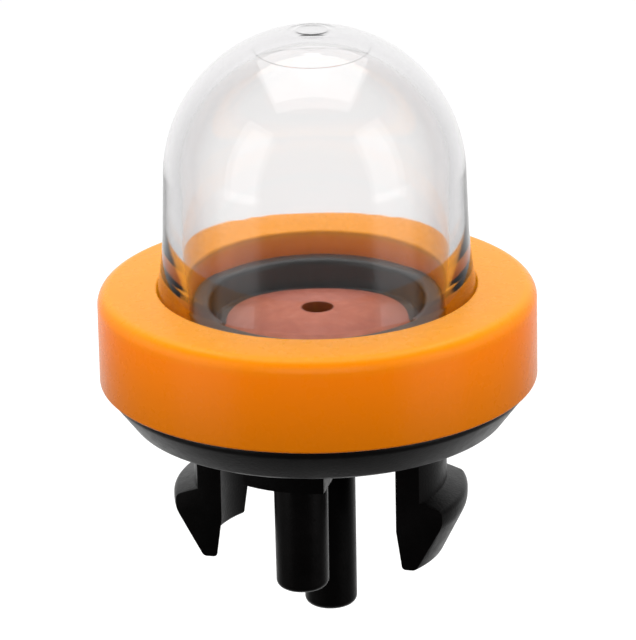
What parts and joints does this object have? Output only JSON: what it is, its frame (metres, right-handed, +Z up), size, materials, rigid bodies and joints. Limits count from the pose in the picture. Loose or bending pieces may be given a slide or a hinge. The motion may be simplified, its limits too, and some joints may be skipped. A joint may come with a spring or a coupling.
{
  "type": "primer bulb",
  "caption": "Snap-in fuel primer bulb for a small petrol engine: clear dome over a rubber valve, orange collar, black base with snap legs and hose stubs.",
  "frame": {"origin": "on the bulb's axis, on the flat underside of the base that meets the panel", "axes": "+Z up along the bulb's axis towards the dome, the two snap legs on +X and -X, the feed stub on -Y and the return stub on +Y"},
  "size_m": [0.022, 0.022, 0.0314],
  "materials": {
    "base_black": "satin",
    "valve_rubber": "matte",
    "bulb_clear": "gloss",
    "collar_orange": "satin"
  },
  "bodies": {
    "root": {"base": "base_black", "valve": "valve_rubber", "bulb": "bulb_clear", "collar": "collar_orange"}
  },
  "joints": []
}
